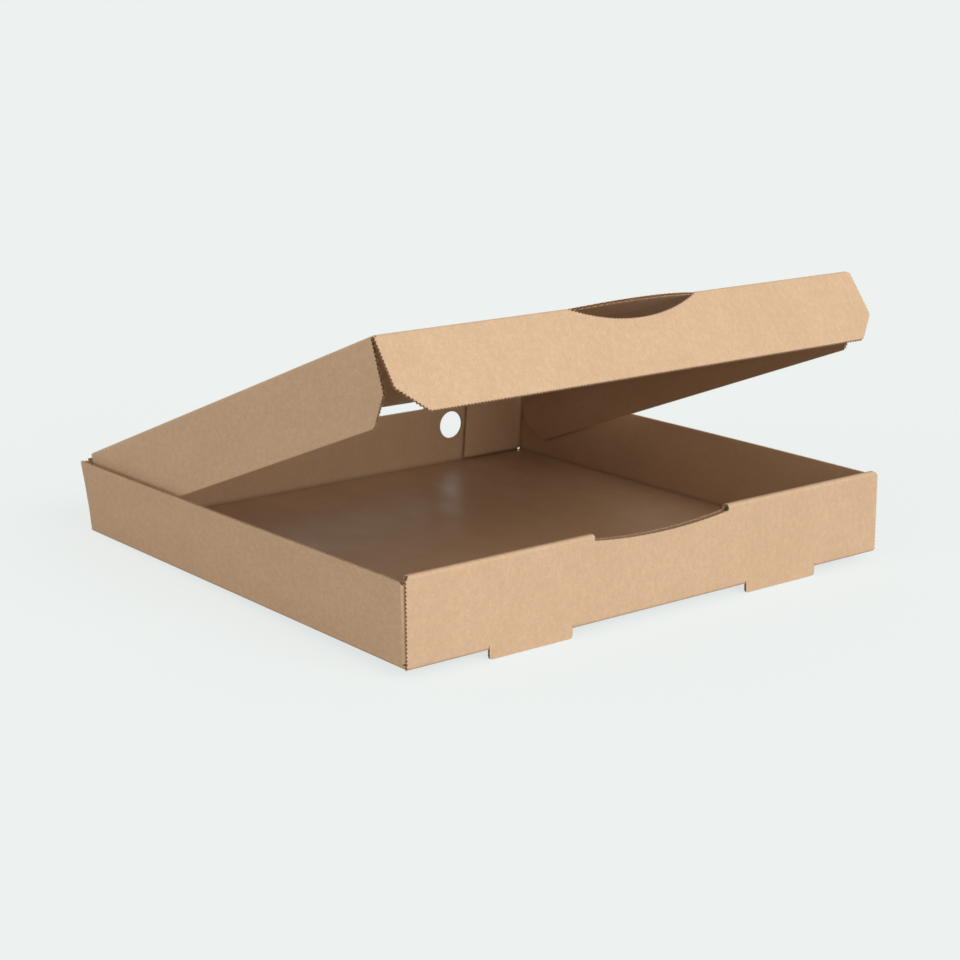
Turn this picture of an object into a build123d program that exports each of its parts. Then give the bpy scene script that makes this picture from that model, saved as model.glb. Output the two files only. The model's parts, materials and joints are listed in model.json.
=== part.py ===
from build123d import *
import os
from math import cos, radians, sin

# A pizza box folded from one blank of thin corrugated board, lid part open.
# Frame: X runs along the front wall, Y from front to back, +Z up, millimetres.
# The origin is the middle of the tray's underside, on the box's plane of symmetry.

# Board
board = 1.5
crease_inside = 0.35
ply_gap = 0.15
overrun = 5.0

# Tray
tray_width = 330.0
tray_depth = 326.8
front_height = 47.1
side_height = 44.2
tab_length = 50.0
tab_drop = 0.7
tab_corner = 6.0

# Finger notch over the middle of the rolled front wall
notch_width = 94.0
notch_end_depth = 3.1
notch_middle_depth = 6.2

# Feet cut out of the floor, and the lock tabs that stand in their slots
foot_width = 53.5
foot_from_side = 50.0
foot_drop = 5.0
foot_corner = 2.0
lock_clearance = 1.2

# Steam holes in the back wall
vent_diameter = 18.2
vent_from_side = 59.2
vent_height = 26.8

# Lid and its hinge
lid_open_angle = 20.5
hinge_height = 45.88
crease_clearance = 0.3
wall_clearance = 0.35
slot_width = 170.0
slot_below_hinge = 5.2
slot_into_lid = 9.8
slot_corner = 2.5

# Front flap of the lid
front_flap_height = 43.0
front_flap_swing = 16.5
front_flap_chamfer = 14.6
front_flap_corner = 3.5
crescent_width = 88.4
crescent_depth = 9.3
lobe_end_clearance = 3.4

# Side flaps of the lid
side_flap_height = 42.4
side_flap_chamfer = 14.5
side_flap_corner = 3.0
side_flap_back_gap = 0.6

# Sizes worked out from those above
half_board = board / 2
half_width = tray_width / 2
half_depth = tray_depth / 2
fold_middle = crease_inside + half_board
fold_outside = crease_inside + board
ply_pitch = board + ply_gap
front_wall = 2 * ply_pitch + board
hinge_y = half_depth - half_board
back_lining = half_depth - board - ply_gap - board
lid_half_width = half_width - board - wall_clearance
front_fold_reach = hinge_y + half_depth - front_wall - wall_clearance - half_board
side_flap_start = hinge_y - back_lining + side_flap_back_gap
side_flap_end = front_fold_reach - half_board - wall_clearance

crescent_rise = crescent_depth + half_board
crescent_radius = (crescent_width**2 / 4 + crescent_rise**2) / (2 * crescent_rise)
lobe_radius = crescent_radius - crease_clearance
lobe_width = crescent_width - 2 * lobe_end_clearance

# The lid's own directions: forward along the panel, and inward from it
lid_forward = Vector(0, -cos(radians(lid_open_angle)), sin(radians(lid_open_angle)))
lid_inward = Vector(0, -sin(radians(lid_open_angle)), -cos(radians(lid_open_angle)))
hinge_point = Vector(0, hinge_y, hinge_height)
front_fold_point = hinge_point + lid_forward * front_fold_reach
swing = radians(front_flap_swing)
flap_down = lid_inward * cos(swing) + lid_forward * sin(swing)


def creased_wall_line(ply, wall_top, turn):
    """Middle line of a wall from its top edge down and round the crease into the floor."""
    Line((ply, wall_top), (ply, fold_outside))
    JernArc(start=(ply, fold_outside), tangent=(0, -1), radius=fold_middle, arc_size=turn)


def is_tab_corner(edge):
    """Whether an edge across the board is a corner of a tab's free end."""
    return abs(abs(edge.center().X) - (half_width - tab_length)) < ply_gap and edge.length < fold_outside


os.makedirs("parts", exist_ok=True)

# Lines of the tray's sheet, taken through the middle of the board
front_ply = -half_depth + half_board
inner_ply = front_ply + 2 * ply_pitch
corner_tab = front_ply + ply_pitch
back_tab = half_depth - half_board - ply_pitch
back_ply = half_depth - half_board
side_ply = half_width - half_board
back_wall_top = hinge_height - half_board - crease_clearance
roll_top = front_height - half_board
lining_half_width = half_width - board - wall_clearance
foot_centre = half_width - foot_from_side - foot_width / 2
lock_width = foot_width - 2 * lock_clearance
slot_length = foot_drop + crease_inside

with BuildPart() as tray:
    # Floor, between the four bottom creases
    with BuildSketch(Plane.XY):
        Rectangle(tray_width - 2 * fold_outside, tray_depth - 2 * fold_outside)
    extrude(amount=board)

    # Bottom crease and outer ply of the front wall, the full width of the box
    with BuildSketch(Plane.YZ.offset(-half_width)):
        with BuildLine():
            creased_wall_line(front_ply, front_height - fold_outside, 90)
        trace(line_width=board)
    extrude(amount=tray_width)

    # Roll over the top of the front wall, the full width of the box
    with BuildSketch(Plane.YZ.offset(-half_width)):
        with BuildLine():
            FilletPolyline(
                (front_ply, side_height),
                (front_ply, roll_top),
                (inner_ply, roll_top),
                (inner_ply, side_height + ply_gap),
                radius=fold_middle,
            )
        trace(line_width=board)
    extrude(amount=tray_width)

    # Inner ply, between the side walls and down to just above the floor
    with BuildSketch(Plane.YZ.offset(-lining_half_width)):
        with BuildLine():
            Line((inner_ply, front_height - fold_outside), (inner_ply, board + ply_gap))
        trace(line_width=board)
    extrude(amount=2 * lining_half_width)

    # Bottom crease and back wall, up to the lid's crease
    with BuildSketch(Plane.YZ.offset(-half_width)):
        with BuildLine():
            creased_wall_line(back_ply, back_wall_top, -90)
        trace(line_width=board)
    extrude(amount=tray_width)

    # Bottom creases of both side walls, between the front and back walls
    with BuildSketch(Plane.XZ.offset(-half_depth + board + ply_gap)):
        for side in (-1, 1):
            with BuildLine():
                creased_wall_line(side * side_ply, side_height, -90 * side)
            trace(line_width=board)
    extrude(amount=tray_depth - 2 * (board + ply_gap))

    # Side walls with the corner tabs that turn in at both of their ends
    for side in (-1, 1):
        with BuildSketch(Plane.XY.offset(fold_outside + tab_drop)):
            with BuildLine():
                FilletPolyline(
                    (side * (half_width - tab_length), corner_tab),
                    (side * side_ply, corner_tab),
                    (side * side_ply, back_tab),
                    (side * (half_width - tab_length), back_tab),
                    radius=fold_middle,
                )
            trace(line_width=board)
        extrude(amount=side_height - fold_outside - 2 * tab_drop)

    # Eased free corners of the four tabs
    tab_ends = tray.edges().filter_by(Axis.Y).filter_by(is_tab_corner)
    fillet(tab_ends, tab_corner)

    # Slots that the feet leave in the floor and its front crease
    with BuildSketch(Plane.XY):
        with Locations((-foot_centre, 0), (foot_centre, 0)):
            with Locations((0, -half_depth + slot_length / 2)):
                Rectangle(foot_width, slot_length)
    extrude(amount=fold_outside, mode=Mode.SUBTRACT)

    # Feet, in the plane of the outer ply and under it
    with BuildSketch(Plane.XZ.offset(half_depth)):
        with Locations((-foot_centre, 0), (foot_centre, 0)):
            with Locations((0, (fold_outside - foot_drop) / 2)):
                feet_outline = Rectangle(foot_width, fold_outside + foot_drop)
        fillet(feet_outline.vertices().group_by(Axis.Y)[0], foot_corner)
    extrude(amount=-board)

    # Lock tabs of the inner ply, down through the slots to the underside
    with BuildSketch(Plane.XZ.offset(-inner_ply + half_board)):
        with Locations((-foot_centre, 0), (foot_centre, 0)):
            with Locations((0, board)):
                Rectangle(lock_width, 2 * board)
    extrude(amount=-board)

    # Finger notch through the roll and both plies
    with BuildSketch(Plane.XZ.offset(half_depth + overrun)):
        with BuildLine():
            notch_end = front_height - notch_end_depth
            Polyline(
                (-notch_width / 2, notch_end),
                (-notch_width / 2, front_height + overrun),
                (notch_width / 2, front_height + overrun),
                (notch_width / 2, notch_end),
            )
            ThreePointArc(
                (-notch_width / 2, notch_end),
                (0, front_height - notch_middle_depth),
                (notch_width / 2, notch_end),
            )
        make_face()
    extrude(amount=-(front_wall + 2 * overrun), mode=Mode.SUBTRACT)

    # Steam holes
    vent_x = half_width - vent_from_side
    with BuildSketch(Plane.XZ.offset(-half_depth - overrun)):
        with Locations((-vent_x, vent_height), (vent_x, vent_height)):
            Circle(vent_diameter / 2)
    extrude(amount=board + 2 * overrun, mode=Mode.SUBTRACT)

    # Lower edge of the slot along the hinge
    with BuildSketch(Plane.XZ.offset(-half_depth - overrun)):
        with Locations((0, hinge_height)):
            slot_outline = Rectangle(slot_width, 2 * slot_below_hinge)
        fillet(slot_outline.vertices(), slot_corner)
    extrude(amount=board + 2 * overrun, mode=Mode.SUBTRACT)

tray.part.label = "tray"
export_step(tray.part, "parts/tray.step")

# Lid panel: section across the hinge, rounded about the hinge line
lid_section_plane = Plane(
    origin=hinge_point - Vector(lid_half_width - board - crease_clearance, 0, 0),
    x_dir=lid_forward,
    z_dir=(1, 0, 0),
)
lid_top_plane = Plane(
    origin=hinge_point - lid_inward * half_board,
    x_dir=(1, 0, 0),
    z_dir=-lid_inward,
)
lid_lobe_plane = Plane(
    origin=front_fold_point - lid_inward * half_board,
    x_dir=(1, 0, 0),
    z_dir=-lid_inward,
)
panel_length = front_fold_reach - half_board - crease_clearance

with BuildPart() as lid:
    with BuildSketch(lid_section_plane):
        Circle(half_board)
        with Locations((panel_length / 2, 0)):
            Rectangle(panel_length, board)
    extrude(amount=2 * (lid_half_width - board - crease_clearance))

    # Lobe that stays on the lid when the front flap is folded down
    with BuildSketch(lid_lobe_plane):
        with Locations((0, crescent_radius - crescent_depth)):
            Circle(lobe_radius)
        with Locations((0, (board - crescent_depth) / 2)):
            Rectangle(lobe_width, board + crescent_depth, mode=Mode.INTERSECT)
    extrude(amount=-board)

    # Upper edge of the slot along the hinge
    with BuildSketch(lid_top_plane):
        slot_in_lid = Rectangle(slot_width, 2 * slot_into_lid)
        fillet(slot_in_lid.vertices(), slot_corner)
    extrude(amount=-board, mode=Mode.SUBTRACT)

lid.part.label = "lid"
export_step(lid.part, "parts/lid.step")

# Front flap: hangs from the lid's front crease, swung a little outward
front_section_plane = Plane(
    origin=front_fold_point - Vector(lid_half_width, 0, 0),
    x_dir=flap_down,
    z_dir=(1, 0, 0),
)
flap_face = flap_down.cross(Vector(1, 0, 0))
front_face_plane = Plane(
    origin=front_fold_point + flap_face * (half_board + overrun),
    x_dir=(1, 0, 0),
    z_dir=flap_face,
)
front_flap_length = front_flap_height - half_board

with BuildPart() as lid_front_flap:
    with BuildSketch(front_section_plane):
        Circle(half_board)
        with Locations((front_flap_length / 2, 0)):
            Rectangle(front_flap_length, board)
    extrude(amount=2 * lid_half_width)

    # Outline: two slanted lower corners with eased points
    with BuildSketch(front_face_plane) as front_outline:
        with Locations((0, -(front_flap_length - overrun) / 2)):
            flap_outline = Rectangle(2 * lid_half_width, front_flap_length + overrun)
        chamfer(flap_outline.vertices().group_by(Axis.Y)[0], front_flap_chamfer)
        fillet(front_outline.vertices().sort_by(Axis.Y)[:4], front_flap_corner)
    extrude(amount=-(board + 2 * overrun), mode=Mode.INTERSECT)

    # Crescent opening under the crease, left by the lobe that stays on the lid
    with BuildSketch(front_face_plane):
        with Locations((0, crescent_radius - crescent_depth)):
            Circle(crescent_radius)
        with Locations((0, (overrun - crescent_depth) / 2)):
            Rectangle(crescent_width, overrun + crescent_depth, mode=Mode.INTERSECT)
    extrude(amount=-(board + 2 * overrun), mode=Mode.SUBTRACT)

lid_front_flap.part.label = "lid_front_flap"
export_step(lid_front_flap.part, "parts/lid_front_flap.step")


# Side flaps: each turns about the inner edge of its crease, under the lid panel
side_flap_plane = Plane(
    origin=hinge_point + lid_forward * side_flap_start + lid_inward * half_board,
    x_dir=(1, 0, 0),
    z_dir=lid_forward,
)
side_fold = lid_half_width - board
side_flap_length = side_flap_end - side_flap_start
side_flap_middle = side_flap_plane.origin + lid_forward * (side_flap_length / 2)


def make_side_flap(side):
    """One side flap: side is -1 for the left one and 1 for the right one."""
    outline_plane = Plane(
        origin=side_flap_middle + Vector(side * (lid_half_width + overrun), 0, 0),
        x_dir=lid_forward * -side,
        z_dir=(side, 0, 0),
    )
    with BuildPart() as flap:
        # Section across the flap, rounded over its crease
        with BuildSketch(side_flap_plane):
            with BuildLine():
                CenterArc((side * side_fold, 0), board, 45 - 45 * side, 90)
                Polyline(
                    (side * side_fold, board),
                    (side * side_fold, board - side_flap_height),
                    (side * lid_half_width, board - side_flap_height),
                    (side * lid_half_width, 0),
                )
            make_face()
        extrude(amount=side_flap_length)

        # Outline with two slanted lower corners
        with BuildSketch(outline_plane) as side_outline:
            with Locations((0, (board - side_flap_height + overrun) / 2)):
                outline = Rectangle(side_flap_length, side_flap_height - board + overrun)
            chamfer(outline.vertices().group_by(Axis.Y)[0], side_flap_chamfer)
            fillet(side_outline.vertices().sort_by(Axis.Y)[:4], side_flap_corner)
        extrude(amount=-(board + 2 * overrun), mode=Mode.INTERSECT)
    return flap


lid_left_flap = make_side_flap(-1)
lid_left_flap.part.label = "lid_left_flap"
export_step(lid_left_flap.part, "parts/lid_left_flap.step")

lid_right_flap = make_side_flap(1)
lid_right_flap.part.label = "lid_right_flap"
export_step(lid_right_flap.part, "parts/lid_right_flap.step")
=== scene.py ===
import bpy
import json
from math import asin, atan, ceil, cos, pi, radians, sin, sqrt, tan

import numpy as np
from mathutils import Matrix, Vector
from mathutils.geometry import delaunay_2d_cdt

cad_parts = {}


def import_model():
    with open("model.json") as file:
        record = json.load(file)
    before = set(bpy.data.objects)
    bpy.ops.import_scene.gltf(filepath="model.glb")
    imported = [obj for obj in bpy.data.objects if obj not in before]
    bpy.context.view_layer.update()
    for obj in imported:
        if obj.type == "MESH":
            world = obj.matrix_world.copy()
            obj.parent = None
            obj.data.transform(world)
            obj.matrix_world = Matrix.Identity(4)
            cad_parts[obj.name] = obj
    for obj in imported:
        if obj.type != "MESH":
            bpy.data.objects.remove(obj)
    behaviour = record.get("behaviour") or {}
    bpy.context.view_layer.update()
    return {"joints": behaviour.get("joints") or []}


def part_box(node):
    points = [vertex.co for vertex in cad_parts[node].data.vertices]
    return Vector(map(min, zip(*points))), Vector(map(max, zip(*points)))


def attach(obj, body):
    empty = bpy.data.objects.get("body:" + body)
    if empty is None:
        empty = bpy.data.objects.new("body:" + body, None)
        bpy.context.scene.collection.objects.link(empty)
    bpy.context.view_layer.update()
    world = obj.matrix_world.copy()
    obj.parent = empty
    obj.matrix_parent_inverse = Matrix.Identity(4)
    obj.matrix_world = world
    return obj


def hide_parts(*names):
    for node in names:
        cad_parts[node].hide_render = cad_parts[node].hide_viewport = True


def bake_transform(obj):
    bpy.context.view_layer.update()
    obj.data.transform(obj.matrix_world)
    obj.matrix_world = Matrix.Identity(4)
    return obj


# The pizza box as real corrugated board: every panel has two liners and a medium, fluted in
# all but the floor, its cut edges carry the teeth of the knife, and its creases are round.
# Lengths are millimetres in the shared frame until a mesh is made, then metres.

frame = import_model()

METRES = 0.001


def corners(node):
    """Lowest and highest corner of a CAD node, in millimetres."""
    low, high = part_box(node)
    return [c / METRES for c in low], [c / METRES for c in high]


def joint(name):
    """A joint of the record by its name."""
    return next(j for j in frame["joints"] if j["name"] == name)


# Board
board = 1.5
half = board / 2
liner = 0.22
medium = 0.26
core_gap = 0.01
flute_pitch = 3.5
flute_steps = 8
fold_radius = 1.1
fold_inside = fold_radius + half
fold_length = fold_radius * pi / 2
bend_steps = 8
corner_steps = 6
tooth_pitch = 2.0
tooth_depth = 0.85
fine_depth = 0.3
panel_grid = 20.0
lid_grid = 40.0
sharp_angle = 0.9

# The texture space counts decimetres of the flat blank
blank_unit = 100.0

# Small lengths for the meshing
weld = 1e-6
tiny = 1e-9
nudge = 0.01
margin = 1.0

# Tray, from the CAD tray's own box where it shows there
tray_low, tray_high = corners("tray")
half_width = tray_high[0]
half_depth = tray_high[1]
roll_top = tray_high[2]
foot_bottom = tray_low[2]
side_top = 44.2
back_top = 44.2
back_corner_top = 44.0
back_inset = 1.6
back_half = half_width - back_inset
ply_gap = 0.15
ply_pitch = board + ply_gap
tab_reach = 115.0
tab_drop = 0.7
tab_corner = 6.0
tab_heel = 2.0
crack = 0.08
roll_corner = 1.5
lining_inset = 1.85
lining_half_width = half_width - lining_inset
lining_bottom = 1.65
notch_half = 47.0
notch_end_drop = 3.1
notch_middle_drop = 6.2
notch_end_height = roll_top - notch_end_drop
notch_middle_height = roll_top - notch_middle_drop
notch_steps = 40
foot_inner = 61.5
foot_outer = 115.0
foot_corner = 2.0

# The slit beside each foot: its width, how far it rises past the crease, and how far the
# foot's edge lies inside it. The knife also cuts the last bit of the crease.
foot_slit = 0.15
slit_rise = 0.4
foot_fit = 0.02
last_bite = 0.2

# Lock tabs and the slots they stand in, and the steam holes
lock_inner = 62.7
lock_outer = 113.8
slot_back = -158.05
vent_x = 105.8
vent_height = 26.8
vent_radius = 9.1
vent_steps = 48

# Lid, about its hinge
hinge = [c / METRES for c in joint("lid_hinge")["pos_m"]]
front_fold = [c / METRES for c in joint("front_flap_fold")["pos_m"]]
fold_reach = sqrt((front_fold[1] - hinge[1]) ** 2 + (front_fold[2] - hinge[2]) ** 2)
lid_angle = asin((front_fold[2] - hinge[2]) / fold_reach)
slot_half = 85.0
slot_drop = 5.2
slot_low = hinge[2] - slot_drop
slot_lip_corner = 1.8
slot_into_lid = 9.8
slot_corner = 2.5
crease_start = 2.5
lid_half = 160.3
lid_front_gap = 2.15
lid_front = fold_reach - lid_front_gap
crescent_half = 44.2
crescent_depth = 9.3
crescent_steps = 60

# The lobe's gap to the crescent it was cut from, its ends' inset, and the least distance
# of the crescent from the edge of the front crease
lobe_gap = 0.3
lobe_inset = 0.6
crescent_least = 0.1

# Lid flaps
front_flap_swing = radians(16.5)
front_flap_half = 163.15
front_flap_length = 42.25
front_flap_chamfer = 14.6
side_flap_start = 3.0
side_flap_end = 319.0
side_flap_x = 162.4
side_flap_drop = 41.65
side_flap_chamfer = 14.5
flap_corner = 3.0

# Where the front flap widens past the lid, beside the middle of its bend
shoulder_back = 0.3
shoulder_out = 0.2
shoulder_rise = 0.4

# Points this far inside a piece's edge and this far past its bend, which the flaps work out and do not
# use
blend_inset = 0.2
blend_past = 0.9

# How far the tops of the side walls lean out, at the front, in the middle and at the back
lean_left = (1.0, 3.2, 5.0)
lean_right = (2.2, 5.5, 3.5)
lean_power = 1.3


# Outlines on the flat blank

# A run is a list of points and the depth of the knife's teeth along it. No depth means a
# crease, a joint between two pieces or a smooth cut.

def toothed(points, tooth):
    """A cut run with the teeth of the knife, on the board's side of the line."""
    points = np.array(points, float)
    steps = np.diff(points, axis=0)
    lengths = np.hypot(steps[:, 0], steps[:, 1])
    along = np.concatenate([[0.0], np.cumsum(lengths)])
    count = max(1, round(along[-1] / tooth_pitch)) * 2
    places = np.linspace(0, along[-1], count + 1)
    line = np.stack([np.interp(places, along, points[:, k]) for k in (0, 1)], axis=1)
    ahead = np.gradient(line, axis=0)
    ahead /= np.maximum(np.hypot(ahead[:, 0], ahead[:, 1]), tiny)[:, None]
    inward = np.stack([-ahead[:, 1], ahead[:, 0]], axis=1)
    depth = np.where(np.arange(count + 1) % 2 == 1, tooth, 0.0)
    return (line + inward * depth[:, None]).tolist()


def loop(*runs):
    """A closed outline from runs that follow each other, the board on their left."""
    points = []
    for run, tooth in runs:
        points += (toothed(run, tooth) if tooth else [list(p) for p in run])[:-1]
    return points


def straight(*points, tooth=tooth_depth):
    """Cut runs between points, one for each edge."""
    return [((a, b), tooth) for a, b in zip(points, points[1:])]


def bare(*points):
    """One run without teeth along points."""
    return [(points, 0)]


def arc(centre, radius, start, end, count):
    """Points on an arc, angles in degrees."""
    angles = np.radians(np.linspace(start, end, count + 1))
    return [(centre[0] + radius * cos(a), centre[1] + radius * sin(a)) for a in angles]


def rounded(points, radii, tooth=tooth_depth):
    """Cut runs along points whose corners are rounded by the given radii, ends left out."""
    points = [np.array(p, float) for p in points]
    runs = []
    last = points[0]
    for before, corner, after, radius in zip(points, points[1:], points[2:], radii):
        back = (before - corner) / np.linalg.norm(before - corner)
        ahead = (after - corner) / np.linalg.norm(after - corner)
        if radius > 0:
            spread = np.arccos(np.clip(back @ ahead, -1, 1)) / 2
            reach = radius / tan(spread)
            a = corner + back * reach
            b = corner + ahead * reach
            ways = np.linspace(0, 1, corner_steps + 1)[:, None]
            bend = (1 - ways) ** 2 * a + 2 * ways * (1 - ways) * corner + ways**2 * b
            runs.append(((tuple(last), tuple(a)), tooth))
            runs.append(([tuple(p) for p in bend], tooth))
            last = b
        else:
            runs.append(((tuple(last), tuple(corner)), tooth))
            last = corner
    runs.append(((tuple(last), tuple(points[-1])), tooth))
    return runs


# Folding

# A path is the middle line of a folded sheet, by its length on the blank.

def folded(start, heading, steps):
    """A function from length to point and outward normal, in the path's own plane."""
    parts = []
    place = np.array(start, float)
    turn = radians(heading)
    length = 0.0
    for kind, size in steps:
        if kind == "line":
            parts.append((length, size, place, turn, 0.0))
            place = place + size * np.array([cos(turn), sin(turn)])
            length += size
        else:
            angle = radians(size)
            reach = abs(angle) * fold_radius
            bend = angle / reach
            parts.append((length, reach, place, turn, bend))
            middle = turn + angle / 2
            chord = 2 * fold_radius * sin(abs(angle) / 2)
            place = place + chord * np.array([cos(middle), sin(middle)])
            turn += angle
            length += reach

    def at(v):
        v = np.asarray(v, float)
        out = np.zeros((len(v), 2))
        normal = np.zeros((len(v), 2))
        for i, (begin, size, origin, angle, bend) in enumerate(parts):
            low = -np.inf if i == 0 else begin
            high = np.inf if i == len(parts) - 1 else begin + size
            here = (v >= low) & (v <= high)
            far = v[here] - begin
            way = angle + bend * far
            middle = angle + bend * far / 2
            chord = far if bend == 0 else 2 / bend * np.sin(bend * far / 2)
            ahead = np.stack([np.cos(middle), np.sin(middle)], axis=1)
            out[here] = origin + ahead * np.reshape(chord, (-1, 1))
            normal[here] = np.stack([-np.sin(way), np.cos(way)], axis=1)
        return out, normal

    return at


def fold_lines(axis, start, length=fold_length):
    """Lines across the blank that let the board bend over a crease."""
    return [(axis, start + length * i / bend_steps) for i in range(bend_steps + 1)]


# Meshes

def inside(points, loops):
    """Which points lie in the board: an odd count of outline edges to their right."""
    odd = np.zeros(len(points), bool)
    edges = np.concatenate([np.stack([ring, np.roll(ring, -1, axis=0)], axis=1) for ring in loops])
    px, py = points[:, 0], points[:, 1]
    order = np.argsort(py)
    sorted_y = py[order]
    for (ax, ay), (bx, by) in edges:
        low, high = (ay, by) if ay < by else (by, ay)
        first = np.searchsorted(sorted_y, low, side="right")
        last = np.searchsorted(sorted_y, high, side="right")
        if last > first:
            these = order[first:last]
            cross = ax + (py[these] - ay) * (bx - ax) / (by - ay)
            odd[these] ^= px[these] < cross
    return odd


def filled(loops, lines):
    """Points and triangles of an outline with holes, cut along lines of constant u or v."""
    loops = [np.array(ring, float) for ring in loops]
    low = loops[0].min(axis=0) - margin
    high = loops[0].max(axis=0) + margin
    points = []
    edges = []
    for ring in loops:
        first = len(points)
        points += ring.tolist()
        edges += [(first + i, first + (i + 1) % len(ring)) for i in range(len(ring))]
    for axis, value in lines:
        edges.append((len(points), len(points) + 1))
        if axis == "u":
            points += [[value, low[1]], [value, high[1]]]
        else:
            points += [[low[0], value], [high[0], value]]
    made = delaunay_2d_cdt([Vector(p) for p in points], edges, [], 0, weld)
    flat = np.array([tuple(p) for p in made[0]])
    triangles = np.array(made[2])
    triangles = triangles[inside(flat[triangles].mean(axis=1), loops)]
    used, triangles = np.unique(triangles, return_inverse=True)
    return flat[used], triangles.reshape(-1, 3)


def slab(flat, triangles, place, top, bottom):
    """A closed sheet between two heights over the board's middle."""
    count = len(flat)
    vertices = np.concatenate([place(flat[:, 0], flat[:, 1], h) for h in (top, bottom)])
    directed = triangles[:, [0, 1, 1, 2, 2, 0]].reshape(-1, 2)
    keys = directed[:, 0] * count + directed[:, 1]
    back = directed[:, 1] * count + directed[:, 0]
    rim = directed[~np.isin(keys, back)]
    a, b = rim[:, 0], rim[:, 1]
    sides = np.concatenate([np.stack([b, a, a + count], 1), np.stack([b, a + count, b + count], 1)])
    return vertices, np.concatenate([triangles, triangles[:, ::-1] + count, sides])


def right_handed(flat, place):
    """Whether the board's upper side faces the way its triangles do."""
    u, v = flat.mean(axis=0)
    zero = np.zeros(1)
    base = place(zero + u, zero + v, zero)[0]
    along = place(zero + u + nudge, zero + v, zero)[0] - base
    across = place(zero + u, zero + v + nudge, zero)[0] - base
    up = place(zero + u, zero + v, zero + nudge)[0] - base
    return np.cross(along, across) @ up > 0


def sheet(name, loops, place, bends, across, fluted=True, grid=panel_grid):
    """A panel of corrugated board. across is the blank's direction across the flutes."""
    low = np.min(loops[0], axis=0)
    high = np.max(loops[0], axis=0)
    plain = list(bends)
    for k, axis in enumerate("uv"):
        count = ceil((high[k] - low[k]) / grid)
        plain += [(axis, low[k] + (high[k] - low[k]) * i / count) for i in range(1, count)]
    flat, triangles = filled(loops, plain)
    if not right_handed(flat, place):
        triangles = triangles[:, ::-1]
    core = half - liner
    layers = [(flat, triangles, half, core, 0), (flat, triangles, -core, -half, 1)]
    if fluted:
        k = "uv".index(across)
        step = flute_pitch / flute_steps
        first = ceil((low[k] + step / 4) / step)
        last = int((high[k] - step / 4) / step)
        rows = plain + [(across, i * step) for i in range(first, last + 1)]
        wave_flat, wave_triangles = filled(loops, rows)
        if not right_handed(wave_flat, place):
            wave_triangles = wave_triangles[:, ::-1]
        wave = (core - medium / 2) * np.sin(2 * pi * wave_flat[:, k] / flute_pitch)
        layers.append((wave_flat, wave_triangles, wave + medium / 2, wave - medium / 2, 2))
    else:
        layers.append((flat, triangles, core - core_gap, core_gap - core, 2))
    return mesh_object(name, layers, place, across)


def mesh_object(name, layers, place, across):
    """One object from the layers of a board, with the blank as its texture space."""
    vertices, faces, blank, slots = [], [], [], []
    count = 0
    for flat, triangles, top, bottom, slot in layers:
        top = np.broadcast_to(top, len(flat))
        bottom = np.broadcast_to(bottom, len(flat))
        points, sides = slab(flat, triangles, place, top, bottom)
        vertices.append(points)
        faces.append(sides + count)
        blank.append(np.concatenate([flat, flat]))
        slots.append(np.full(len(sides), slot))
        count += len(points)
    vertices = np.concatenate(vertices) * METRES
    faces = np.concatenate(faces)
    blank = np.concatenate(blank)
    if across == "v":
        blank = blank[:, ::-1]
    data = bpy.data.meshes.new(name)
    data.vertices.add(len(vertices))
    data.vertices.foreach_set("co", vertices.ravel())
    data.loops.add(faces.size)
    data.loops.foreach_set("vertex_index", faces.ravel().astype(np.int32))
    data.polygons.add(len(faces))
    data.polygons.foreach_set("loop_start", np.arange(0, faces.size, 3, dtype=np.int32))
    data.polygons.foreach_set("material_index", np.concatenate(slots).astype(np.int32))
    data.update(calc_edges=True)
    layer = data.uv_layers.new(name="blank")
    layer.uv.foreach_set("vector", (blank[faces.ravel()] / blank_unit).ravel())
    data.polygons.foreach_set("use_smooth", np.ones(len(faces), bool))
    data.set_sharp_from_angle(angle=sharp_angle)
    for material in (outer_liner, inner_liner, fluting):
        data.materials.append(material)
    data.validate()
    made = bpy.data.objects.new(name, data)
    bpy.context.collection.objects.link(made)
    return made


# Materials

# Noise of the paper: scale across and along the flutes, to the decimetre, detail, offset,
# and the lowest and highest value that count
cloud_noise = (5.0, 2.6, 2.0, 1.3, 0.2, 0.8)
pulp_noise = (32.0, 20.0, 4.0, 7.9, 0.28, 0.72)
fibre_noise = (150.0, 95.0, 2.0, 4.7, 0.3, 0.7)
fleck_noise = (95.0, 60.0, 1.0, 9.1, 0.66, 0.76)
speck_noise = (80.0, 50.0, 1.0, 14.9, 0.62, 0.78)
noise_roughness = 0.6

# How strongly each layer of the paper shows
cloud_weight = 0.45
pulp_weight = 0.55
fibre_weight = 0.46
fleck_weight = 0.4
speck_weight = 0.4
ridge_weight = 0.5

# The shade of each layer, as a share of the dark paper or, for the specks, of the light
pulp_share = 0.86
fibre_share = 0.79
fleck_share = 0.55
speck_share = 1.25
ridge_share = 0.9
# The painted shade in creases, corners and narrow gaps, as a share of the dark paper
painted_shade_share = 0.3

# Painted shade in creases, corners and narrow gaps, from ambient occlusion: how far it reaches, the
# openness at which it is full and gone, and its samples
painted_shade_reach = 4.0
painted_shade_full = 0.4
painted_shade_gone = 0.9
painted_shade_samples = 8

# How far the clouds change the roughness, and the relief of fibres and flutes
roughness_swing = 0.06
fibre_height = 0.10
bump_strength = 0.6
bump_depth = 0.12


def node(tree, kind, **values):
    """A shader node with its settings and inputs given by name."""
    made = tree.nodes.new(kind)
    for key, value in values.items():
        if hasattr(made, key):
            setattr(made, key, value)
        else:
            made.inputs[key.replace("_", " ")].default_value = value
    return made


def shaded(colour, share):
    """A colour made darker or lighter, at most white."""
    return tuple(min(1.0, c * share) for c in colour)


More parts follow.
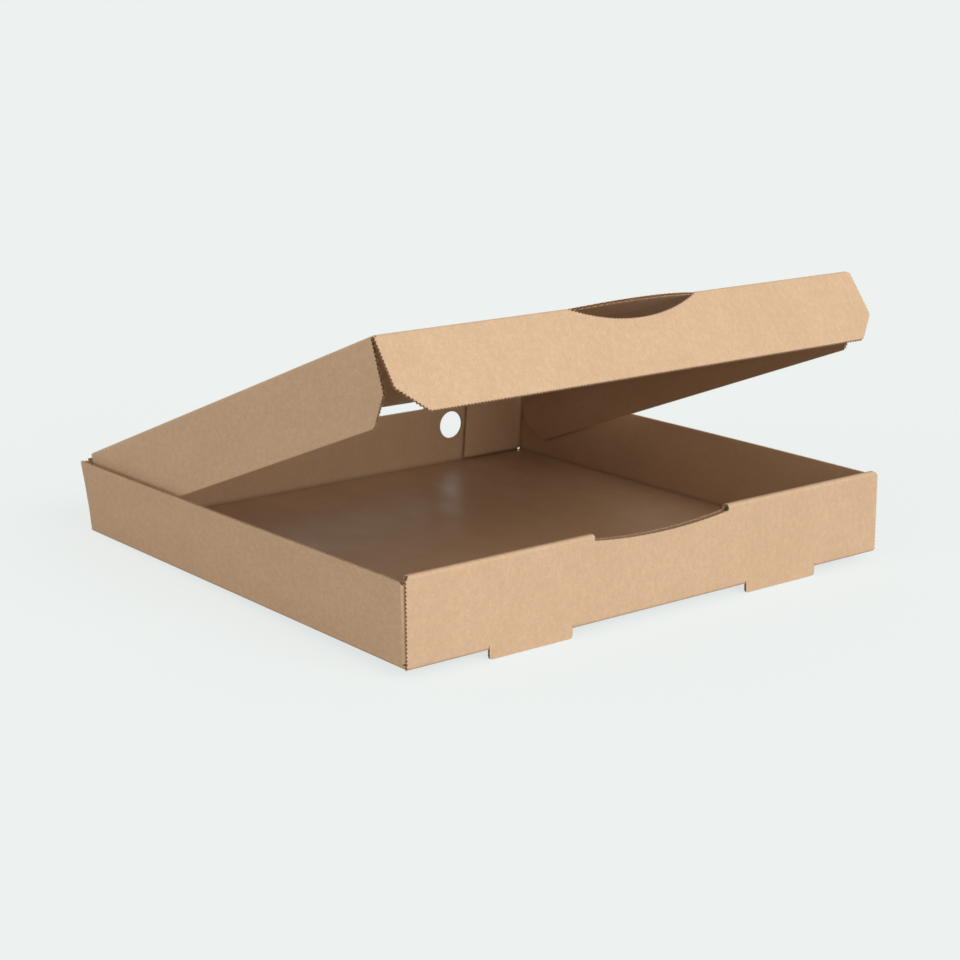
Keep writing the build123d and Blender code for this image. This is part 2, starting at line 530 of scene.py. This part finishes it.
def kraft(name, light, dark, roughness, shine, washboard, grain, crease=0.0):
    """Unbleached kraft paper: clouds, pulp, fibres, flecks and the flutes pressing through. crease sets
    how much painted shade darkens its creases, corners and narrow gaps.
    """
    material = bpy.data.materials.new(name)
    material.use_nodes = True
    tree = material.node_tree
    link = tree.links.new
    shader = tree.nodes["Principled BSDF"]
    blank = node(tree, "ShaderNodeUVMap", uv_map="blank")
    split = node(tree, "ShaderNodeSeparateXYZ")
    link(blank.outputs["UV"], split.inputs[0])

    def ranged(source, low, high, out_low, out_high, curve="LINEAR"):
        """A value carried over from one range to another."""
        ramp = node(tree, "ShaderNodeMapRange", interpolation_type=curve)
        ramp.inputs["From Min"].default_value = low
        ramp.inputs["From Max"].default_value = high
        ramp.inputs["To Min"].default_value = out_low
        ramp.inputs["To Max"].default_value = out_high
        link(source, ramp.inputs["Value"])
        return ramp.outputs["Result"]

    def spread(across, along, detail, offset, low, high):
        """Noise, longer along the flutes or across them, spread over 0 to 1."""
        join = node(tree, "ShaderNodeCombineXYZ", Z=offset)
        for axis, scale in (("X", across), ("Y", along)):
            times = node(tree, "ShaderNodeMath", operation="MULTIPLY")
            times.inputs[1].default_value = scale
            link(split.outputs[axis], times.inputs[0])
            link(times.outputs[0], join.inputs[axis])
        noise = node(tree, "ShaderNodeTexNoise", Scale=1.0, Detail=detail, Roughness=noise_roughness)
        link(join.outputs[0], noise.inputs["Vector"])
        return ranged(noise.outputs["Fac"], low, high, 0.0, 1.0, "SMOOTHSTEP")

    def layer(source, weight, under, over):
        """The colour under, with the colour over it where the source is high."""
        mix = node(tree, "ShaderNodeMix", data_type="RGBA", blend_type="MIX")
        link(ranged(source, 0.0, 1.0, 0.0, weight), mix.inputs[0])
        for value, socket in ((under, mix.inputs[6]), (over, mix.inputs[7])):
            if isinstance(value, tuple):
                socket.default_value = (*value, 1.0)
            else:
                link(value, socket)
        return mix.outputs[2]

    clouds = spread(*cloud_noise)
    pulp = spread(*pulp_noise)
    fibres = spread(*fibre_noise)
    flecks = spread(*fleck_noise)
    specks = spread(*speck_noise)
    flute = node(tree, "ShaderNodeMath", operation="MULTIPLY")
    flute.inputs[1].default_value = 2 * pi * blank_unit / flute_pitch
    link(split.outputs["X"], flute.inputs[0])
    swell = node(tree, "ShaderNodeMath", operation="SINE")
    link(flute.outputs[0], swell.inputs[0])
    ridge = ranged(swell.outputs[0], -1.0, 1.0, 0.0, 1.0)

    colour = layer(clouds, cloud_weight, light, dark)
    colour = layer(pulp, pulp_weight * grain, colour, shaded(dark, pulp_share))
    colour = layer(fibres, fibre_weight * grain, colour, shaded(dark, fibre_share))
    colour = layer(flecks, fleck_weight * grain, colour, shaded(dark, fleck_share))
    colour = layer(specks, speck_weight * grain, colour, shaded(light, speck_share))
    colour = layer(ridge, ridge_weight * washboard, colour, shaded(dark, ridge_share))
    # Painted shade: ambient occlusion darkens the colour in creases, corners and narrow gaps between
    # pieces
    if crease:
        corner = node(tree, "ShaderNodeAmbientOcclusion", samples=painted_shade_samples)
        corner.inputs["Distance"].default_value = painted_shade_reach * METRES
        painted_shade = ranged(corner.outputs["AO"], painted_shade_full, painted_shade_gone, 1.0, 0.0)
        colour = layer(painted_shade, crease, colour, shaded(dark, painted_shade_share))
    link(colour, shader.inputs["Base Color"])
    rough = ranged(clouds, 0.0, 1.0, roughness - roughness_swing, roughness + roughness_swing)
    link(rough, shader.inputs["Roughness"])
    shader.inputs["Specular IOR Level"].default_value = shine

    height = node(tree, "ShaderNodeMath", operation="ADD")
    link(ranged(fibres, 0.0, 1.0, 0.0, fibre_height), height.inputs[0])
    link(ranged(ridge, 0.0, 1.0, 0.0, washboard), height.inputs[1])
    bump = node(tree, "ShaderNodeBump", Strength=bump_strength, Distance=bump_depth * METRES)
    link(height.outputs[0], bump.inputs["Height"])
    link(bump.outputs["Normal"], shader.inputs["Normal"])
    return material


outer_liner = kraft(
    "kraft_outer",
    light=(0.725, 0.517, 0.348),
    dark=(0.625, 0.436, 0.277),
    roughness=0.60,
    shine=0.35,
    washboard=0.06,
    grain=0.75,
)
inner_liner = kraft(
    "kraft_inner",
    light=(0.555, 0.366, 0.226),
    dark=(0.480, 0.308, 0.181),
    roughness=0.36,
    shine=0.5,
    washboard=0.05,
    grain=0.45,
    # Painted shade in its creases, corners and narrow gaps
    crease=0.7,
)
fluting = kraft(
    "kraft_fluting",
    light=(0.50, 0.335, 0.210),
    dark=(0.42, 0.270, 0.160),
    roughness=0.7,
    shine=0.2,
    washboard=0.0,
    grain=0.5,
)


# Tray

def wall_path(edge, *steps):
    """Path of a wall folded up from the floor's edge. Its first axis points inward."""
    return folded((-edge, half), 180, [("fold", -90), *steps])


def rise(height):
    """Length on the blank, from the floor's crease, of a height on the outer ply."""
    return fold_length + height - fold_inside


wall_edge = half_depth - fold_inside
side_edge = half_width - fold_inside
roll_start = rise(roll_top - fold_inside)
roll_flat = 2 * ply_pitch - 2 * fold_radius
roll_end = roll_start + 2 * fold_length + roll_flat


def down(height):
    """Length on the blank of a height on the inner ply."""
    return roll_end + roll_top - fold_inside - height


def front_wall():
    """Outer ply, roll, inner ply, feet and lock tabs of the front wall, one folded strip."""
    path = wall_path(
        wall_edge,
        ("line", roll_top - 2 * fold_inside),
        ("fold", -90),
        ("line", roll_flat),
        ("fold", -90),
        ("line", roll_top),
    )

    def place(u, v, t):
        point, normal = path(v)
        foot = (np.abs(u) > foot_inner) & (np.abs(u) < foot_outer) & (v < fold_length)
        rising = fold_inside + v[foot] - fold_length
        point[foot] = np.stack([np.full(foot.sum(), -half_depth + half), rising], axis=1)
        normal[foot] = (-1.0, 0.0)
        where = point + normal * np.reshape(t, (-1, 1))
        return np.stack([u, where[:, 0], where[:, 1]], axis=1)

    toe = rise(foot_bottom)
    hem = down(lining_bottom)
    lock = down(0)
    wide = roll_start + fold_length / 2
    slit = fold_length + slit_rise
    runs = straight((-half_width, 0), (-half_width + last_bite, 0))
    runs += bare((-half_width + last_bite, 0), (-foot_outer - foot_slit, 0))
    for left, right in ((-foot_outer, -foot_inner), (foot_inner, foot_outer)):
        runs += bare((left - foot_slit, 0), (left - foot_slit, slit), (left + foot_fit, slit))
        foot = [
            (left + foot_fit, slit),
            (left + foot_fit, toe),
            (right - foot_fit, toe),
            (right - foot_fit, slit),
        ]
        runs += rounded(foot, (foot_corner, foot_corner), fine_depth)
        runs += bare((right - foot_fit, slit), (right + foot_slit, slit), (right + foot_slit, 0))
        if left < 0:
            runs += bare((right + foot_slit, 0), (-right - foot_slit, 0))
    runs += bare((foot_outer + foot_slit, 0), (half_width, 0))
    runs += rounded(
        [(half_width, 0), (half_width, wide), (lining_half_width, wide), (lining_half_width, hem)],
        (roll_corner, 0),
    )
    runs += straight(
        (lining_half_width, hem),
        (lock_outer, hem),
        (lock_outer, lock),
        (lock_inner, lock),
        (lock_inner, hem),
        (-lock_inner, hem),
        (-lock_inner, lock),
        (-lock_outer, lock),
        (-lock_outer, hem),
        (-lining_half_width, hem),
    )
    runs += rounded(
        [(-lining_half_width, hem), (-lining_half_width, wide), (-half_width, wide), (-half_width, 0)],
        (0, roll_corner),
    )
    outline = loop(*runs)

    sag = notch_end_height - notch_middle_height
    radius = (notch_half**2 + sag**2) / (2 * sag)
    xs = np.linspace(-notch_half, notch_half, notch_steps + 1)
    heights = notch_middle_height + radius - np.sqrt(radius**2 - xs**2)
    outer_run = [(x, rise(z)) for x, z in zip(xs, heights)]
    inner_run = [(x, down(z)) for x, z in zip(xs, heights)]
    notch = loop(
        (outer_run[::-1], fine_depth),
        ((outer_run[0], inner_run[0]), fine_depth),
        (inner_run, fine_depth),
        ((inner_run[-1], outer_run[-1]), fine_depth),
    )
    second_roll = roll_start + fold_length + roll_flat
    bends = fold_lines("v", 0) + fold_lines("v", roll_start) + fold_lines("v", second_roll)
    return sheet("tray_front_wall", [outline, notch], place, bends, "u")


def floor_panel():
    """The tray's floor, with the slots that the feet leave in it."""
    def place(u, v, t):
        return np.stack([u, v, half - t + 0 * u], axis=1)

    runs = bare((-side_edge, -wall_edge), (-foot_outer, -wall_edge))
    for left, right in ((-foot_outer, -foot_inner), (foot_inner, foot_outer)):
        runs += straight((left, -wall_edge), (left, slot_back), (right, slot_back), (right, -wall_edge))
        if left < 0:
            runs += bare((right, -wall_edge), (-right, -wall_edge))
    runs += bare(
        (foot_outer, -wall_edge),
        (side_edge, -wall_edge),
        (side_edge, wall_edge),
        (-side_edge, wall_edge),
        (-side_edge, -wall_edge),
    )
    return sheet("tray_floor", [loop(*runs)], place, [], "u", fluted=False)


def back_wall():
    """The back wall, with its steam holes and the lower edge of the hinge slot."""
    path = wall_path(wall_edge, ("line", back_corner_top))

    def place(u, v, t):
        point, normal = path(v)
        where = point + normal * np.reshape(t, (-1, 1))
        return np.stack([u, -where[:, 0], where[:, 1]], axis=1)

    top = rise(back_top)
    corner = rise(back_corner_top)
    slot = rise(slot_low)
    runs = bare(
        (-back_half, 0),
        (back_half, 0),
        (back_half, corner),
        (lid_half, corner),
        (lid_half, top),
        (slot_half, top),
    )
    runs += rounded(
        [(slot_half, top), (slot_half, slot), (-slot_half, slot), (-slot_half, top)],
        (slot_lip_corner, slot_lip_corner),
    )
    runs += bare(
        (-slot_half, top),
        (-lid_half, top),
        (-lid_half, corner),
        (-back_half, corner),
        (-back_half, 0),
    )
    vents = [
        loop((arc((x, rise(vent_height)), vent_radius, 360, 0, vent_steps), fine_depth))
        for x in (-vent_x, vent_x)
    ]
    return sheet("tray_back_wall", [loop(*runs), *vents], place, fold_lines("v", 0), "u")


def side_wall(name, side, lean):
    """A side wall with its corner tabs, leaning out a little at the top."""
    path = wall_path(side_edge, ("line", side_top))
    bend_at = half_depth - ply_pitch - fold_inside
    tab_end = bend_at + fold_length + side_edge - tab_reach
    foot = rise(fold_inside + tab_drop)
    head = rise(side_top - tab_drop)
    top = rise(side_top)

    def place(u, v, t):
        point, normal = path(v)
        around = np.abs(u)
        bent = (around > bend_at) & (v > foot - crack / 2)
        angle = np.clip((around - bend_at) / fold_radius, 0, pi / 2)
        beyond = np.clip(around - bend_at - fold_length, 0, None)
        out = -point[:, 0] + normal[:, 0] * -t
        height = point[:, 1] + normal[:, 1] * t
        reach = fold_radius + t
        out = np.where(bent, side_edge + reach * np.cos(angle) - beyond, out)
        along = np.where(bent, bend_at + reach * np.sin(angle), around) * np.sign(u + tiny)
        way = np.clip((along + half_depth) / (2 * half_depth), 0, 1)
        belly = 4 * way * (1 - way) * (lean[1] - (lean[0] + lean[2]) / 2)
        bow = lean[0] + (lean[2] - lean[0]) * way + belly
        share = np.clip((height - fold_inside) / (side_top - fold_inside), 0, None)
        out = out + bow * share**lean_power
        return np.stack([side * out, along, height], axis=1)

    corner = half_depth - board - crack / 2
    hem = foot - crack
    runs = bare((-corner, 0), (corner, 0), (bend_at, hem), (bend_at, foot))
    runs += rounded(
        [(bend_at, foot), (tab_end, foot), (tab_end, head), (bend_at, head), (bend_at, top)],
        (tab_heel, tab_corner, 0),
    )
    runs += straight((bend_at, top), (-bend_at, top))
    runs += rounded(
        [(-bend_at, top), (-bend_at, head), (-tab_end, head), (-tab_end, foot), (-bend_at, foot)],
        (0, tab_corner, tab_heel),
    )
    runs += bare((-bend_at, foot), (-bend_at, hem), (-corner, hem), (-corner, 0))
    bends = fold_lines("v", 0) + fold_lines("u", bend_at) + fold_lines("u", -bend_at - fold_length)
    return sheet(name, [loop(*runs)], place, bends, "v")


# Lid

forward = np.array([0.0, -cos(lid_angle), sin(lid_angle)])
inward = np.array([0.0, -sin(lid_angle), -cos(lid_angle)])
hinge_point = np.array(hinge)
crescent_rise = crescent_depth + half
crescent_radius = (crescent_half**2 + crescent_rise**2) / (2 * crescent_rise)


def lid_point(x, s, t=0.0):
    """A point on the lid's plane, s from the hinge and t over the middle of the board."""
    return hinge_point + np.array([1.0, 0, 0]) * x + forward * s - inward * t


def metres(point):
    """A point in metres as a plain tuple."""
    return tuple(float(c) * METRES for c in point)


def lid_panel():
    """The lid's panel, with the lobe at its front and the slot at its hinge."""
    def place(u, v, t):
        flat = hinge_point + forward * v[:, None] - inward * np.reshape(t, (-1, 1))
        flat[:, 0] = u
        return flat

    lobe_radius = crescent_radius - lobe_gap
    end = crescent_half - lobe_inset
    xs = np.linspace(end, -end, crescent_steps + 1)
    centre = fold_reach - (crescent_radius - crescent_depth)
    lobe = [(x, centre + sqrt(lobe_radius**2 - x**2)) for x in xs]
    runs = rounded(
        [
            (-slot_half, crease_start),
            (-slot_half, slot_into_lid),
            (slot_half, slot_into_lid),
            (slot_half, crease_start),
        ],
        (slot_corner, slot_corner),
    )
    runs += bare(
        (slot_half, crease_start),
        (lid_half, crease_start),
        (lid_half, lid_front),
        (crescent_half, lid_front),
    )
    runs += straight((crescent_half, lid_front), lobe[0])
    runs.append((lobe, tooth_depth))
    runs += straight(lobe[-1], (-crescent_half, lid_front))
    runs += bare(
        (-crescent_half, lid_front),
        (-lid_half, lid_front),
        (-lid_half, crease_start),
        (-slot_half, crease_start),
    )
    return sheet("lid_panel", [loop(*runs)], place, [], "u", grid=lid_grid)


def hinge_crease(name, side):
    """The crease between the back wall and the lid, beside the slot."""
    turn = 90 - lid_angle * 180 / pi
    tangent = fold_radius * tan(radians(turn) / 2)
    stem = hinge[2] - tangent - back_top
    path = folded((-hinge[1], back_top), 90, [("line", stem), ("fold", -turn), ("line", crease_start)])
    length = stem + fold_radius * radians(turn) + crease_start - tangent

    def place(u, v, t):
        point, normal = path(v)
        where = point + normal * np.reshape(t, (-1, 1))
        return np.stack([side * u, -where[:, 0], where[:, 1]], axis=1)

    runs = bare((slot_half, 0), (lid_half, 0), (lid_half, length), (slot_half, length))
    runs += straight((slot_half, length), (slot_half, 0))
    bends = fold_lines("v", 0, length) + fold_lines("v", stem, fold_radius * radians(turn))
    made = sheet(name, [loop(*runs)], place, bends, "u")
    start = (0, hinge[1], back_top)
    metres(start)
    metres(lid_point(0, crease_start))
    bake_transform(made)
    return made


def front_flap():
    """The lid's front flap with its crease and the crescent opening under it."""
    turn = pi / 2 - front_flap_swing
    tangent = fold_radius * tan(turn / 2)
    stem = fold_reach - tangent - lid_front
    bend = fold_radius * turn
    fold_at = stem + bend / 2
    length = stem + bend + front_flap_length - tangent
    steps = [("line", stem), ("fold", -turn * 180 / pi), ("line", front_flap_length)]
    path = folded((lid_front, 0), 0, steps)

    def place(u, v, t):
        point, normal = path(v)
        where = point + normal * np.reshape(t, (-1, 1))
        out = hinge_point + forward * where[:, :1] - inward * where[:, 1:]
        out[:, 0] = u
        return out

    centre = fold_at - (crescent_radius - crescent_depth)
    start = asin(crescent_half / crescent_radius) * 180 / pi
    crescent = arc((0, centre), crescent_radius, 90 + start, 90 - start, crescent_steps)
    crescent = [(x, max(v, crescent_least)) for x, v in crescent]
    outer = front_flap_half
    shoulder = lid_half + shoulder_out
    half_bend = fold_at - shoulder_back
    low_corner = half_bend + shoulder_rise
    chamfer = front_flap_chamfer
    runs = bare((-lid_half, 0), (-crescent_half, 0))
    runs += straight((-crescent_half, 0), crescent[0])
    runs.append((crescent, tooth_depth))
    runs += straight(crescent[-1], (crescent_half, 0))
    runs += bare((crescent_half, 0), (lid_half, 0))
    runs += rounded(
        [
            (lid_half, 0),
            (shoulder, half_bend),
            (outer, low_corner),
            (outer, length - chamfer),
            (outer - chamfer, length),
            (-outer + chamfer, length),
            (-outer, length - chamfer),
            (-outer, low_corner),
            (-shoulder, half_bend),
            (-lid_half, 0),
        ],
        (0, 0, flap_corner, flap_corner, flap_corner, flap_corner, 0, 0),
    )
    bends = fold_lines("v", stem, bend) + [("v", length / bend_steps)]
    made = sheet("lid_front_flap_board", [loop(*runs)], place, bends, "u")
    begin = lid_point(0, lid_front + blend_inset)
    last = place(np.zeros(1), np.array([stem + bend + blend_past]), np.zeros(1))[0]
    last[0] = 0
    metres(begin)
    metres(last)
    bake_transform(made)
    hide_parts("lid_front_flap")
    return made


def side_flap(name, side, cad):
    """A side flap of the lid with its crease, flutes along its length."""
    line = side_flap_drop - fold_radius
    length = side_flap_x - fold_radius - lid_half
    path = folded((lid_half, 0), 0, [("line", length), ("fold", -90), ("line", line)])
    total = length + fold_length + line
    first, last = side_flap_start, side_flap_end

    def place(u, v, t):
        point, normal = path(v)
        where = point + normal * np.reshape(t, (-1, 1))
        out = hinge_point + forward * u[:, None] - inward * where[:, 1:]
        out[:, 0] = side * where[:, 0]
        return out

    runs = bare((first, 0), (last, 0))
    runs += rounded(
        [
            (last, 0),
            (last, total - side_flap_chamfer),
            (last - side_flap_chamfer, total),
            (first + side_flap_chamfer, total),
            (first, total - side_flap_chamfer),
            (first, 0),
        ],
        (flap_corner,) * 4,
    )
    bends = fold_lines("v", length)
    made = sheet(name, [loop(*runs)], place, bends, "v")
    begin = lid_point(side * (lid_half + blend_inset), 0)
    end = lid_point(side * side_flap_x, 0, -fold_radius - blend_past)
    metres(begin)
    metres(end)
    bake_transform(made)
    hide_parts(cad)
    return made


# Light, floor and camera

# Colours of the photo's backdrop and of the light that comes from all around
backdrop = (0.855, 0.896, 0.880)
soft_colour = (1.0, 0.91, 0.81)
soft_strength = 0.47

# The table: half its size, its gap under the box, its colour for the light it throws back,
# and for the camera its lit colour, its own pale colour and that one's share
ground_half = 60000.0
ground_gap = 0.1
ground_matt = (0.45, 0.45, 0.45)
ground_lit = (0.90, 0.98, 1.0)
ground_seen = (0.884, 0.924, 0.914)
ground_seen_share = 0.8

# The photo's camera: lens and sensor, place, and turns about the three axes in radians
camera_lens = 75.53
camera_sensor = 36.0
camera_place = (-690.7, -904.8, 321.6)
camera_turn_x = 1.877
camera_turn_y = -0.633
camera_turn_z = -0.192


def world():
    """Soft light from all around, and the photo's backdrop for camera and reflections."""
    made = bpy.data.worlds.new("surroundings")
    bpy.context.scene.world = made
    made.use_nodes = True
    tree = made.node_tree
    tree.nodes.clear()
    soft = node(tree, "ShaderNodeBackground", Strength=soft_strength)
    soft.inputs["Color"].default_value = (*soft_colour, 1.0)
    seen = node(tree, "ShaderNodeBackground", Strength=1.0)
    seen.inputs["Color"].default_value = (*backdrop, 1.0)
    rays = node(tree, "ShaderNodeLightPath")
    either = node(tree, "ShaderNodeMath", operation="MAXIMUM")
    mix = node(tree, "ShaderNodeMixShader")
    out = node(tree, "ShaderNodeOutputWorld")
    tree.links.new(rays.outputs["Is Camera Ray"], either.inputs[0])
    tree.links.new(rays.outputs["Is Glossy Ray"], either.inputs[1])
    tree.links.new(either.outputs[0], mix.inputs[0])
    tree.links.new(soft.outputs[0], mix.inputs[1])
    tree.links.new(seen.outputs[0], mix.inputs[2])
    tree.links.new(mix.outputs[0], out.inputs["Surface"])


def ground():
    """The pale table top, on which the box rests on its feet and its back crease."""
    size = ground_half * METRES
    data = bpy.data.meshes.new("ground")
    spots = [(-size, -size, 0), (size, -size, 0), (size, size, 0), (-size, size, 0)]
    data.from_pydata(spots, [], [(0, 1, 2, 3)])
    made = bpy.data.objects.new("ground", data)
    bpy.context.collection.objects.link(made)
    tilt = atan(-foot_bottom / (2 * half_depth))
    made.rotation_euler = (tilt, 0, 0)
    made.location = (0, 0, (foot_bottom / 2 - ground_gap) * METRES)
    material = bpy.data.materials.new("ground")
    material.use_nodes = True
    tree = material.node_tree
    tree.nodes.clear()
    matt = node(tree, "ShaderNodeBsdfDiffuse")
    matt.inputs["Color"].default_value = (*ground_matt, 1.0)
    lit = node(tree, "ShaderNodeBsdfDiffuse")
    lit.inputs["Color"].default_value = (*ground_lit, 1.0)
    seen = node(tree, "ShaderNodeEmission", Strength=1.0)
    seen.inputs["Color"].default_value = (*ground_seen, 1.0)
    rays = node(tree, "ShaderNodeLightPath")
    shade = node(tree, "ShaderNodeMixShader")
    shade.inputs[0].default_value = ground_seen_share
    mix = node(tree, "ShaderNodeMixShader")
    out = node(tree, "ShaderNodeOutputMaterial")
    tree.links.new(lit.outputs[0], shade.inputs[1])
    tree.links.new(seen.outputs[0], shade.inputs[2])
    tree.links.new(rays.outputs["Is Camera Ray"], mix.inputs[0])
    tree.links.new(matt.outputs[0], mix.inputs[1])
    tree.links.new(shade.outputs[0], mix.inputs[2])
    tree.links.new(mix.outputs[0], out.inputs["Surface"])
    data.materials.append(material)


def sun(name, towards, strength, width, colour):
    """A soft light from far away, towards is where it comes from."""
    data = bpy.data.lights.new(name, "SUN")
    data.energy = strength
    data.angle = radians(width)
    data.color = colour
    made = bpy.data.objects.new(name, data)
    made.rotation_euler = Vector(towards).to_track_quat("Z", "Y").to_euler()
    made.visible_glossy = False
    bpy.context.collection.objects.link(made)


def camera():
    """The photo's own camera, fitted to the box's corners."""
    data = bpy.data.cameras.new("camera")
    data.lens = camera_lens
    data.sensor_width = camera_sensor
    data.sensor_fit = "HORIZONTAL"
    made = bpy.data.objects.new("camera", data)
    bpy.context.collection.objects.link(made)
    turn = Matrix.Rotation(camera_turn_z, 3, "Z")
    turn = turn @ Matrix.Rotation(camera_turn_y, 3, "Y")
    turn = turn @ Matrix.Rotation(camera_turn_x, 3, "X")
    axes = Matrix((turn[0], -turn[1], -turn[2])).transposed()
    made.matrix_world = Matrix.Translation(metres(camera_place)) @ axes.to_4x4()
    bpy.context.scene.camera = made


tray_pieces = [
    front_wall(),
    floor_panel(),
    back_wall(),
    side_wall("tray_left_wall", -1, lean_left),
    side_wall("tray_right_wall", 1, lean_right),
]
for piece in tray_pieces:
    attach(piece, "tray")
    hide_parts("tray")

panel = lid_panel()
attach(panel, "lid")
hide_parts("lid")
hinge_crease("lid_left_crease", -1)
hinge_crease("lid_right_crease", 1)
front_flap()
side_flap("lid_left_flap_board", -1, "lid_left_flap")
side_flap("lid_right_flap_board", 1, "lid_right_flap")

world()
ground()
sun("key", towards=(0.22, -0.93, 0.44), strength=1.78, width=40.0, colour=(1.0, 0.99, 0.975))
sun("fill", towards=(-0.24, -0.96, 0.11), strength=0.40, width=16.0, colour=(1.0, 0.95, 0.90))
sun("side", towards=(-0.96, -0.20, 0.24), strength=0.78, width=40.0, colour=(1.0, 0.93, 0.86))
camera()
bpy.context.scene.view_settings.view_transform = "Standard"
